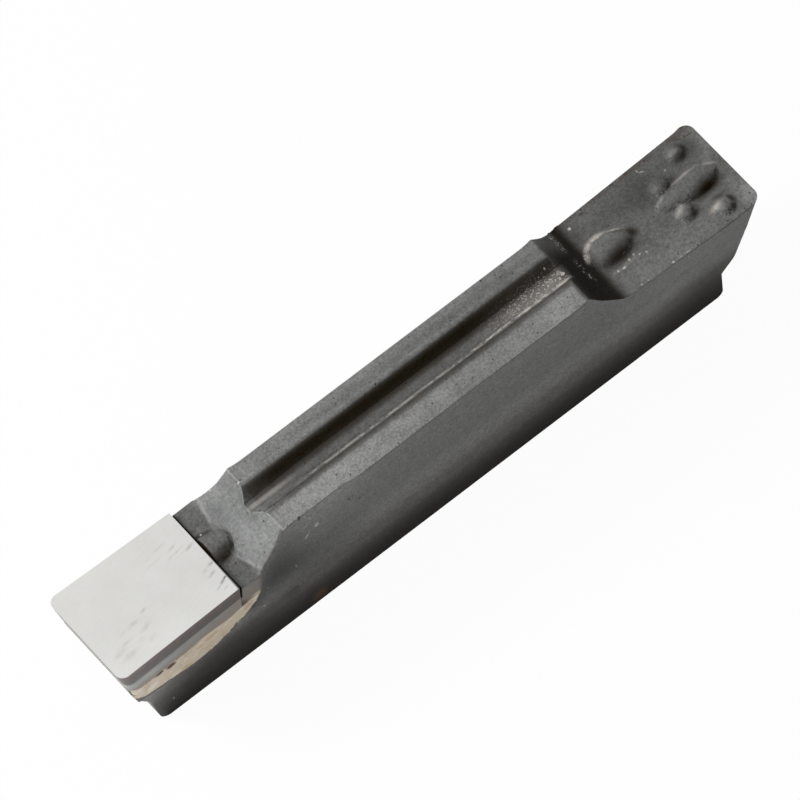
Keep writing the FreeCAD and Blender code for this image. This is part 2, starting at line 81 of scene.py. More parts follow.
# one procedural material and the patterns it is made of
class Finish:
    def __init__(self, name):
        self.material = bpy.data.materials.new(name)
        self.material.use_nodes = True
        self.tree = self.material.node_tree
        self.tree.nodes.clear()
        coordinates = self.node("ShaderNodeTexCoord", output="Object")
        self.place = self.node("ShaderNodeMapping", {}, {
            "Vector": coordinates, "Location": (halfLength, 0, 0), "Scale": (1000, 1000, 1000)})
        self.x = self.node("ShaderNodeSeparateXYZ", {}, [self.place], "X")
        self.y = self.sibling(self.x, "Y")
        self.z = self.sibling(self.x, "Z")

    def node(self, kind, settings=None, inputs=(), output=0):
        made = self.tree.nodes.new(kind)
        for name, value in (settings or {}).items():
            setattr(made, name, value)
        for name, value in inputs.items() if isinstance(inputs, dict) else enumerate(inputs):
            if isinstance(value, Wire):
                self.tree.links.new(value.socket, made.inputs[name])
            else:
                made.inputs[name].default_value = value
        return Wire(self, made.outputs[output]) if made.outputs else made

    def sibling(self, wire, output):
        return Wire(self, wire.socket.node.outputs[output])

    def ease(self, value, low, high):  # 0 at low, 1 at high, smooth between
        return self.node("ShaderNodeMapRange", {"interpolation_type": "SMOOTHSTEP"}, [value, low, high, 0.0, 1.0])

    def moved(self, vector, location=(0, 0, 0), turn=(0, 0, 0), scale=(1, 1, 1)):
        return self.node("ShaderNodeMapping", {"vector_type": "TEXTURE"}, [vector, location, turn, scale])

    def grain(self, size, seed, detail=2.0, stretch=(1, 1, 1), rough=0.5, vector=None):
        place = self.moved(vector or self.place, (seed * 7.3, seed * 3.1, seed * 5.7), scale=stretch)
        return self.node("ShaderNodeTexNoise", {}, {
            "Vector": place, "Scale": 1 / size, "Detail": detail, "Roughness": rough})

    def specks(self, spacing, radius, seed, vector=None):  # 1 inside scattered dots
        place = self.moved(vector or self.place, (seed * 4.7, seed * 2.9, seed * 6.1))
        distance = self.node("ShaderNodeTexVoronoi", {}, {"Vector": place, "Scale": 1 / spacing})
        return self.ease(distance, radius / spacing, radius / spacing * 0.4)

    def spot(self, centre, reach, turn=(0, 0, 0), soft=0.6, vector=None):  # 1 inside an ellipsoid
        local = self.moved(vector or self.place, centre, [math.radians(angle) for angle in turn], reach)
        nearness = self.node("ShaderNodeTexGradient", {"gradient_type": "SPHERICAL"}, [local], "Fac")
        return self.ease(nearness, 0.0, soft)

    def spots(self, rows, vector=None, soft=0.6):
        total = None
        for centre, reach, turn, amount in rows:
            one = self.spot(centre, reach, turn, soft, vector) * amount
            total = one if total is None else total.greater(one)
        return total

    def blend(self, below, above, share, kind="MIX"):
        inputs = {0: share, 6: below, 7: above}
        return self.node("ShaderNodeMix", {"data_type": "RGBA", "blend_type": kind}, inputs, 2)

    def sum(self, rows):  # soft bumps and dips added up
        total = None
        for centre, reach, turn, amount in rows:
            one = self.spot(centre, reach, turn, 1.0) * amount
            total = one if total is None else total + one
        return total

    def mixed(self, below, above, share):  # a plain value between two others
        return below + (above - below) * share

    def curve(self, value, points, handles="AUTO_CLAMPED"):  # a value drawn over a place, level beyond its ends
        first, last = points[0][0], points[-1][0]
        top = max(height for place, height in points)
        made = self.node("ShaderNodeFloatCurve", {}, {"Value": (value - first) / (last - first)})
        mapping = made.socket.node.mapping
        mapping.extend = "HORIZONTAL"
        line = mapping.curves[0]
        line.points[0].location = (0, points[0][1] / top)
        line.points[1].location = (1, points[-1][1] / top)
        for place, height in points[1:-1]:
            line.points.new((place - first) / (last - first), height / top)
        for corner in line.points:
            corner.handle_type = handles
        mapping.update()
        return made * top

    def scaled(self, colour, amount):
        inputs = {0: amount, 6: (0, 0, 0, 1), 7: colour}
        return self.node("ShaderNodeMix", {"data_type": "RGBA", "clamp_factor": False}, inputs, 2)

    def surface(self, settings, bump=None, depth=0.0):
        inputs = dict(settings)
        if bump is not None:
            inputs["Normal"] = self.node("ShaderNodeBump", {}, {
                "Strength": 1.0, "Distance": depth * mm, "Height": bump})
        return self.node("ShaderNodeBsdfPrincipled", {}, inputs, "BSDF")

    def done(self, shader):
        self.node("ShaderNodeOutputMaterial", {}, {"Surface": shader})
        return self.material


def colours(look):  # the values of a dictionary, with an alpha for each colour
    return {name: (*value, 1) if isinstance(value, tuple) else value for name, value in look.items()}


# how high the braze reaches on the flanks: places along the insert with heights
brazeEdges = {
    "upper": [(0.2, 3.24), (0.9, 3.19), (1.6, 3.18), (2.32, 3.21), (2.94, 3.16), (3.45, 3.08), (3.75, 3.16),
              (3.94, 3.19), (4.53, 3.2)],
    "lower": [(0.28, 2.88), (0.47, 2.47), (0.7, 2.22), (1.01, 2.13), (1.52, 2.03), (2.03, 1.91), (2.54, 1.85),
              (2.84, 1.87), (3.04, 1.91), (3.23, 2.05), (3.52, 2.21), (3.71, 2.29), (4.01, 2.44), (4.2, 2.63),
              (4.4, 2.76), (4.46, 3.0), (4.53, 3.24)],
}


def brazeShare(f):  # the braze and the dark strip under its rear part
    jag = (f.grain(0.13, 41, 1.0) - 0.5) * 0.5 * (f.ease(f.x, 2.5, 3.5) + 0.15)
    height = f.z - f.curve(f.x, brazeEdges["lower"], "VECTOR") + jag
    below = f.ease(f.curve(f.x, brazeEdges["upper"]) - f.z, -0.02, 0.02)
    shadow = f.ease(height, -0.16, -0.03) * f.ease(height, 0.06, 0.0)
    shadow = shadow * f.ease(f.x, 2.3, 3.2) * f.ease(f.x, 4.75, 4.55)
    return f.ease(height, -0.015, 0.015) * below * f.ease(f.x, 4.56, 4.52), shadow


brazeLook = {
    "pale": (0.93, 0.87, 0.76), "plain": (0.82, 0.69, 0.525), "deep": (0.64, 0.5, 0.365), "gold": (0.62, 0.43, 0.2),
    "void": (0.075, 0.043, 0.025), "bare": (0.36, 0.305, 0.26), "dark": (0.10, 0.095, 0.09), "roughness": 0.45,
}


def brazeColour(f):
    look = colours(brazeLook)
    patch = f.grain(0.35, 31, 3.0)
    fine = f.grain(0.07, 32, 3.0, rough=0.6)
    colour = f.blend(look["deep"], look["plain"], f.ease(patch * 0.45 + fine * 0.55, 0.34, 0.52))
    colour = f.blend(colour, look["pale"], f.ease(f.grain(0.24, 33, 3.0, rough=0.6), 0.5, 0.66) * 0.6)
    # pale patches, and painted highlights on the rear part of the braze
    pale = f.spots([
        ((0.95, -1.4, 2.5), (0.22, 0.5, 0.3), (0, 20, 0), 0.9),
        ((0.45, -1.4, 2.98), (0.2, 0.5, 0.16), (0, 0, 0), 0.8),
        ((3.35, -1.4, 2.87), (0.16, 0.5, 0.08), (0, 0, 0), 0.7),
        ((3.95, -1.4, 2.72), (0.1, 0.5, 0.1), (0, 30, 0), 0.6),
        ((4.35, -1.4, 3.02), (0.1, 0.5, 0.12), (0, 30, 0), 0.8),
    ])
    colour = f.blend(colour, look["pale"], pale)
    # golden patches, and a painted yellow glint near the rear end
    gold = f.spots([
        ((2.1, -1.4, 2.02), (0.25, 0.5, 0.1), (0, 0, 0), 0.8),
        ((2.85, -1.4, 2.84), (0.3, 0.5, 0.12), (0, 0, 0), 0.7),
        ((2.5, -1.4, 2.72), (0.15, 0.5, 0.12), (0, 0, 0), 0.5),
        ((4.1, -1.4, 2.9), (0.1, 0.5, 0.25), (0, 50, 0), 0.4),
    ])
    return f.blend(colour, look["gold"], gold)


# pressed and sintered carbide
sinterLook = {
    "light": (0.165, 0.165, 0.160),
    "dark": (0.088, 0.088, 0.084),
    "land": (0.270, 0.270, 0.266),
    "landDark": (0.146, 0.146, 0.142),
    "slope": (0.218, 0.223, 0.218),
    "slopeDark": (0.128, 0.133, 0.128),
    "flank": (0.210, 0.209, 0.205),
    "flankLow": (0.219, 0.203, 0.190),
    # dark of the painted shade on the flank and under the braze, and of the dark flank marks
    "foot": (0.020, 0.0155, 0.0095),
    # dark brown of the painted shade and residue, and below it a greyer one for the rear slope
    "sootAndShade": (0.018, 0.0118, 0.0045),
    "smokeAndShade": (0.018, 0.0155, 0.0115),
    "rust": (0.045, 0.027, 0.015),
    # pale of the dust and of the painted highlights
    "dustAndHighlight": (0.56, 0.52, 0.47),
    # pale colour of the painted highlight lines
    "edge": (0.34, 0.34, 0.33),
    "pit": (0.03, 0.027, 0.024),
    "stain": (0.13, 0.065, 0.035),
    "scratch": (0.5, 0.48, 0.46),
    "bareMetal": (0.30, 0.268, 0.243),
    "specular": 0.3,
    "roughness": 0.4,
    "grainDepth": 0.018,  # mm
}


# brightness by place over the lands, slope, rake and flank: painted light and shade, with some uneven tone
def carbideToneAndPaintedLight(f, flank, slope):
    x, y, z = f.x, f.y, f.z
    lands = f.ease(z, 4.82, 4.86)
    # painted light: the near land brighter than the far land
    nearLand = f.curve(x, [(5.6, 1.2), (6.5, 1.36), (7.5, 1.4), (9.0, 1.24), (10.5, 1.14), (12.0, 1.07), (13.5, 1.06),
                           (14.7, 1.3), (15.6, 1.08)])
    farLand = f.curve(x, [(5.6, 1.1), (6.5, 0.95), (7.5, 1.0), (9.0, 0.95), (10.5, 0.92), (13.5, 0.86), (14.9, 0.88),
                          (15.6, 0.95)])
    streak = f.ease(abs(y - 0.79), 0.2, 0.02) * f.ease(x, 6.0, 8.5) * 0.2
    landTone = f.mixed(nearLand, farLand - streak, f.ease(y, -0.5, 0.5))
    slopeTone = 1 + f.sum([
        ((5.45, -0.75, 4.6), (0.6, 0.6, 0.6), (0, 0, 0), 0.35),
        ((4.8, 0.65, 4.2), (0.5, 0.5, 0.5), (0, 0, 0), -0.3),
    ])
    rakeTone = 1 + f.sum([
        ((18.2, -1.2, 4.1), (3.4, 0.9, 0.8), (0, 0, 0), 0.3),
        ((17.3, 1.1, 4.1), (1.4, 0.9, 0.8), (0, 0, 0), -0.12),
        ((19.0, 0.8, 4.1), (1.9, 1.1, 0.8), (0, 0, 0), -0.42),
        ((20.4, 1.0, 4.1), (0.7, 0.7, 0.8), (0, 0, 0), -0.25),
        ((20.95, -1.1, 4.1), (0.5, 0.9, 0.8), (0, 0, 0), 0.45),
        ((20.95, 1.0, 4.1), (0.3, 0.7, 0.8), (0, 0, 0), 0.25),
        ((20.9, -1.2, 4.1), (0.4, 0.6, 0.8), (0, 0, 0), 0.2),
        ((17.4, 0.65, 4.1), (1.1, 0.5, 0.8), (0, 0, 0), -0.2),
        ((18.5, 0.55, 4.1), (0.8, 0.6, 0.8), (0, 0, 0), -0.18),
        ((20.6, 0.85, 4.1), (0.3, 0.5, 0.8), (0, 0, 0), -0.35),
        ((20.9, 0.1, 4.1), (0.3, 0.5, 0.8), (0, 0, 0), -0.25),
        ((4.2, 1.0, 4.1), (0.5, 0.9, 0.8), (0, 0, 0), -0.12),
        ((4.0, -0.9, 4.1), (0.7, 0.9, 0.8), (0, 0, 0), -0.2),
    ])
    # painted shade: the flank darker towards the bottom
    flankShadeByHeight = f.curve(z, [(0.0, 0.03), (0.3, 0.075), (0.55, 0.195), (0.8, 0.345), (1.05, 0.5), (1.3, 0.72),
                           (1.55, 0.79), (1.8, 0.97), (2.05, 1.13), (2.3, 1.19), (2.6, 1.12), (3.0, 0.97), (4.0, 0.97),
                           (4.87, 1.05)])
    # painted shadows on the near flank behind the tip and under the braze, painted light higher up
    flankTone = flankShadeByHeight * (1 + f.sum([
        ((7.1, -1.13, 4.6), (1.7, 1.0, 1.1), (0, 0, 0), 0.32),
        ((5.05, -1.13, 3.3), (1.7, 1.0, 1.6), (0, 0, 0), -0.66),
        ((4.3, -1.13, 2.5), (0.6, 1.0, 0.6), (0, 0, 0), -0.35),
        ((6.3, -1.13, 2.4), (2.4, 1.0, 1.3), (0, 0, 0), -0.42),
        ((3.4, -1.13, 1.3), (3.2, 1.0, 1.1), (0, 0, 0), -0.56),
        ((5.6, -1.13, 1.4), (0.5, 1.0, 0.3), (0, 0, 0), -0.25),
        ((18.3, -1.3, 3.3), (2.8, 1.0, 1.3), (0, 0, 0), 0.2),
        ((19.4, -1.2, 1.3), (2.3, 1.0, 1.6), (0, 0, 0), -0.4),
    ]))
    tone = f.mixed(rakeTone, slopeTone, slope)
    tone = f.mixed(tone, landTone, lands)
    return f.mixed(tone, flankTone, flank)


def residueAndPaintedShade(f, ragged, normals, flank):  # painted shade with a brown residue tint in the groove, on the rear slope and beside the ridges and dots, and the dark seam
    x, y, z = f.x, f.y, f.z
    faceX, faceY, up = normals
    across = y + ragged * 0.25
    # painted shade: the far groove wall dark, and a darker band along the near lip
    groove = f.curve(across, [
        (-0.68, 0.0), (-0.62, 0.1), (-0.56, 0.4), (-0.5, 0.66), (-0.445, 0.72), (-0.37, 0.34), (-0.31, 0.2),
        (-0.2, 0.16), (-0.13, 0.08), (-0.06, 0.2), (0.0, 0.2), (0.05, 0.3), (0.1, 0.56), (0.15, 0.7), (0.19, 0.78),
        (0.25, 0.86), (0.3, 0.92), (0.36, 0.96), (0.41, 0.95), (0.445, 0.88), (0.48, 0.74), (0.515, 0.42),
        (0.55, 0.14), (0.6, 0.0)])
    ends = f.curve(x, [(5.28, 0.55), (5.9, 0.85), (6.8, 1.0), (12.5, 1.0), (13.5, 0.95), (14.7, 0.88), (15.5, 0.88),
                       (15.62, 0.5)])
    steep = f.ease(abs(faceX), 0.25, 0.4)
    groove = groove * ends * f.ease(x, 5.26, 5.34) * (1 - steep) * f.ease(x, 15.7, 15.6)
    early = f.ease(y, 0.1, -0.3) * f.ease(x, 16.2, 15.9) * 0.05
    # painted shade on the rear slope, which faces away from the key light
    valley = f.curve(x + ragged * 0.6 + early, [
        (15.52, 0.0), (15.6, 0.6), (15.7, 0.78), (15.9, 0.89), (16.1, 0.92), (16.35, 0.93), (16.45, 0.89),
        (16.55, 0.66), (16.65, 0.34), (16.75, 0.13), (16.85, 0.04), (16.95, 0.0)])
    valley = valley * (1 - flank) * (1 - f.ease(y, 0.35, 1.0) * f.ease(x, 16.35, 16.15) * 0.6)
    # painted shade on the sides of the ridges and dots that face away from the key light
    shade = f.ease(faceX * 0.45 - faceY * 0.9, 0.14, 0.64) * f.ease(z, 4.1, 4.14) * (1 - f.ease(z, 4.4, 4.5))
    shade = shade * (f.ease(x, 16.3, 16.5) + f.ease(x, 4.75, 4.6)) * up
    # painted shadows beside the ridges, the dots and the front stub
    shaded = f.spots([
        ((17.2, -0.34, 4.1), (0.95, 0.36, 0.5), (0, 0, 4), 1.05),
        ((17.9, -0.03, 4.1), (0.24, 0.32, 0.4), (0, 0, 30), 0.85),
        ((17.62, 0.19, 4.15), (0.42, 0.08, 0.4), (0, 0, -22), 0.5),
        ((20.15, -0.3, 4.1), (0.9, 0.33, 0.5), (0, 0, 6), 1.15),
        ((16.7, 0.8, 4.1), (0.3, 0.45, 0.4), (0, 0, 0), 0.4),
        ((20.2, -0.7, 4.1), (0.4, 0.14, 0.4), (0, 0, 0), 0.55),
        ((20.22, 0.8, 4.1), (0.38, 0.2, 0.4), (0, 0, 5), 0.85),
        ((20.45, 0.95, 4.1), (0.14, 0.24, 0.4), (0, 0, 0), 0.6),
        ((19.64, 0.47, 4.1), (0.16, 0.2, 0.4), (0, 0, -20), 0.6),
        ((19.4, -0.7, 4.1), (0.42, 0.18, 0.4), (0, 0, 12), 0.8),
        ((19.62, -0.54, 4.1), (0.13, 0.18, 0.4), (0, 0, 0), 0.5),
        ((20.42, -0.96, 4.1), (0.17, 0.26, 0.4), (0, 0, 10), 0.7),
        ((20.22, -1.2, 4.1), (0.26, 0.1, 0.4), (0, 0, 15), 0.6),
        ((4.2, -0.42, 4.1), (0.55, 0.24, 0.4), (0, 0, 8), 0.85),
        ((4.1, 0.45, 4.1), (0.5, 0.13, 0.4), (0, 0, -8), 0.75),
        ((4.66, 0.05, 4.2), (0.1, 0.42, 0.4), (0, 0, 0), 0.4),
    ], soft=1.0) * up
    seam = f.ease(x + ragged * 0.3, 3.985, 3.945) * f.ease(z, 3.5, 3.62)
    total = groove
    for part in (valley, shade * 0.75, shaded, seam):
        total = total.greater(part)
    return total


# pale dust, crust and crumbs, with painted highlights on the dots and along the groove floor
def dustAndPaintedHighlights(f, ragged, fine, up):
    x, y, z = f.x, f.y, f.z
    loose = f.ease(f.grain(0.045, 7, 2.0), 0.54, 0.62)
    clumps = f.ease(f.grain(0.16, 13, 2.0), 0.42, 0.6)
    line = f.ease(abs(y + ragged * 0.2 + 0.27), 0.085, 0.02)
    line = line * f.ease(x, 6.2, 7.8) * f.ease(x, 15.9, 15.4) * (f.ease(x, 11.5, 13.2) * 0.4 + 0.5)
    line = line * (f.ease(clumps * 0.35 + f.grain(0.6, 14) * 1.6 + fine * 0.5, 0.95, 1.3) * 0.9 + 0.1)
    # painted highlight along the groove floor near its front end
    grooveFloorHighlight = f.ease(abs(y - 0.02), 0.1, 0.02) * f.ease(x, 5.3, 5.5) * f.ease(x, 7.2, 6.0) * 0.36
    drift = f.ease(y, -0.36, -0.24) * f.ease(y, 0.55, 0.05) * f.ease(x, 12.4, 15.0) * f.ease(x, 15.78, 15.62)
    grains = loose * f.ease(f.grain(0.16, 15, 2.0), 0.36, 0.52)
    grains = (grains * 0.7).greater(f.specks(0.09, 0.03, 16) * 0.9)
    crust = f.ease(x, 16.1, 16.17) * f.ease(x, 16.32, 16.22) * f.ease(y, -0.8, -0.5) * f.ease(y, 1.25, 1.1)
    rim = f.spots([
        ((16.52, 0.12, 4.1), (0.13, 0.28, 0.4), (0, 0, -25), 1.1),
        ((16.72, 0.36, 4.1), (0.28, 0.13, 0.4), (0, 0, 35), 1.2),
        ((17.1, 0.44, 4.1), (0.38, 0.13, 0.4), (0, 0, -4), 1.2),
        ((17.55, 0.29, 4.1), (0.34, 0.09, 0.4), (0, 0, -24), 0.9),
        ((17.15, -0.66, 4.1), (0.7, 0.1, 0.4), (0, 0, 3), 0.22),
    ], soft=0.8)
    # pale dust along the far side of the long ridge, and painted highlights on the lit sides of the dots
    rimDustAndHighlights = f.spots([
        ((19.9, 0.34, 4.1), (0.65, 0.11, 0.4), (0, 0, 2), 0.5),
        ((20.6, 0.2, 4.1), (0.28, 0.09, 0.4), (0, 0, -28), 0.5),
        ((19.0, 0.16, 4.1), (0.4, 0.1, 0.4), (0, 0, 25), 0.3),
        ((19.18, -0.4, 4.2), (0.28, 0.14, 0.4), (0, 0, 14), 0.5),
        ((19.27, -0.33, 4.2), (0.09, 0.07, 0.4), (0, 0, 10), 0.6),
        ((19.92, -0.92, 4.15), (0.32, 0.15, 0.4), (0, 0, 8), 0.7),
        ((20.15, 1.0, 4.2), (0.24, 0.13, 0.4), (0, 0, 10), 0.35),
    ], soft=1.0)
    crumbs = f.spots([
        ((16.75, 1.1, 4.02), (0.055, 0.06, 0.2), (0, 0, 0), 1.5),
        ((19.12, 1.24, 4.05), (0.03, 0.07, 0.2), (0, 0, 20), 0.5),
        ((19.2, 1.15, 4.05), (0.09, 0.03, 0.2), (0, 0, -30), 0.6),
        ((16.9, -0.68, 4.1), (0.04, 0.04, 0.2), (0, 0, 0), 0.8),
        ((17.08, -0.7, 4.1), (0.07, 0.04, 0.2), (0, 0, 10), 0.9),
        ((17.32, -0.6, 4.1), (0.04, 0.05, 0.2), (0, 0, 0), 0.7),
        ((17.5, -0.56, 4.1), (0.04, 0.04, 0.2), (0, 0, 0), 0.6),
        ((17.62, -0.66, 4.1), (0.04, 0.03, 0.2), (0, 0, 0), 0.7),
        ((17.8, -0.72, 4.1), (0.04, 0.04, 0.2), (0, 0, 0), 0.6),
        ((19.68, 0.78, 4.1), (0.05, 0.03, 0.2), (0, 0, 35), 0.5),
        ((4.13, 0.47, 4.1), (0.04, 0.04, 0.2), (0, 0, 0), 1.4),
        ((5.05, 1.2, 4.35), (0.04, 0.03, 0.2), (0, 0, 0), 0.7),
        ((5.585, 0.66, 4.85), (0.05, 0.04, 0.2), (0, 0, 0), 0.6),
        ((15.63, -0.02, 4.62), (0.07, 0.06, 0.2), (0, 0, 0), 1.1),
        ((15.35, 0.36, 4.7), (0.035, 0.035, 0.2), (0, 0, 0), 1.0),
        ((15.1, 0.3, 4.7), (0.03, 0.03, 0.2), (0, 0, 0), 0.8),
        ((17.1, -1.37, 4.1), (0.04, 0.04, 0.2), (0, 0, 0), 0.55),
        ((17.3, -1.38, 4.1), (0.03, 0.03, 0.2), (0, 0, 0), 0.55),
        ((18.12, -1.4, 4.1), (0.05, 0.04, 0.2), (0, 0, 0), 0.9),
        ((18.38, -1.41, 4.1), (0.04, 0.03, 0.2), (0, 0, 0), 0.55),
        ((18.6, -1.42, 4.1), (0.09, 0.03, 0.2), (0, 0, 0), 0.55),
    ], soft=0.5)
    dustAndHighlight = line + drift * (grains * 0.85 + 0.17) + crust * loose * clumps * 0.9 + rim * (loose * 0.5 + 0.5)
    dustAndHighlight = dustAndHighlight + crumbs + grooveFloorHighlight
    return (dustAndHighlight + rimDustAndHighlights * (0.6 + fine * 0.5)) * up


def flankMarks(f):  # scratches, blobs and pits on the near flank
    y = -1.13
    pale = f.spots([
        ((6.26, y, 4.68), (0.04, 0.5, 0.16), (0, -22, 0), 0.5),
        ((6.4, y, 4.45), (0.03, 0.5, 0.15), (0, -8, 0), 0.6),
        ((6.34, y, 4.24), (0.03, 0.5, 0.1), (0, 45, 0), 0.5),
        ((6.26, y, 4.19), (0.1, 0.5, 0.04), (0, -15, 0), 0.5),
        ((6.58, y, 3.88), (0.09, 0.5, 0.13), (0, 15, 0), 1.1),
        ((6.24, y, 3.67), (0.06, 0.5, 0.14), (0, 35, 0), 0.8),
        ((6.33, y, 3.78), (0.08, 0.5, 0.03), (0, -30, 0), 0.5),
        ((5.79, y, 2.63), (0.03, 0.5, 0.1), (0, -15, 0), 0.5),
        ((4.64, y, 1.98), (0.035, 0.5, 0.13), (0, -25, 0), 0.7),
        ((4.8, y, 2.85), (0.03, 0.5, 0.08), (0, -20, 0), 0.35),
        ((5.83, y, 1.56), (0.07, 0.5, 0.05), (0, 0, 0), 0.35),
        ((6.0, y, 1.6), (0.06, 0.5, 0.03), (0, 0, 0), 0.3),
        ((18.57, -1.42, 3.93), (0.03, 0.5, 0.12), (0, -20, 0), 0.6),
        ((1.6, y, 0.68), (0.035, 0.5, 0.1), (0, -10, 0), 0.4),
        ((7.35, y, 4.75), (0.05, 0.5, 0.05), (0, 0, 0), 0.5),
    ], soft=0.6)
    dark = f.spots([
        ((7.62, y, 3.97), (0.07, 0.5, 0.08), (0, 0, 0), 0.8),
        ((7.93, y, 3.68), (0.05, 0.5, 0.07), (0, 0, 0), 0.8),
        ((6.87, y, 2.85), (0.04, 0.5, 0.14), (0, 10, 0), 0.5),
        ((6.77, y, 1.78), (0.05, 0.5, 0.1), (0, 0, 0), 0.6),
        ((8.4, y, 3.3), (0.06, 0.5, 0.06), (0, 0, 0), 0.4),
        ((5.55, y, 1.57), (0.5, 0.5, 0.1), (0, 4, 0), 0.45),
        ((6.7, y, 0.3), (0.1, 0.5, 0.3), (0, 0, 0), 0.8),
        ((15.4, y, 4.55), (0.05, 0.5, 0.08), (0, 0, 0), 0.5),
        ((17.4, -1.4, 4.0), (0.04, 0.5, 0.05), (0, 0, 0), 0.6),
        ((18.2, -1.4, 3.62), (0.05, 0.5, 0.06), (0, 0, 0), 0.6),
    ], soft=0.7)
    rusty = f.spot((6.35, y, 0.32), (0.36, 0.6, 0.34), (0, 0, 0), 0.8)
    return pale, dark, rusty


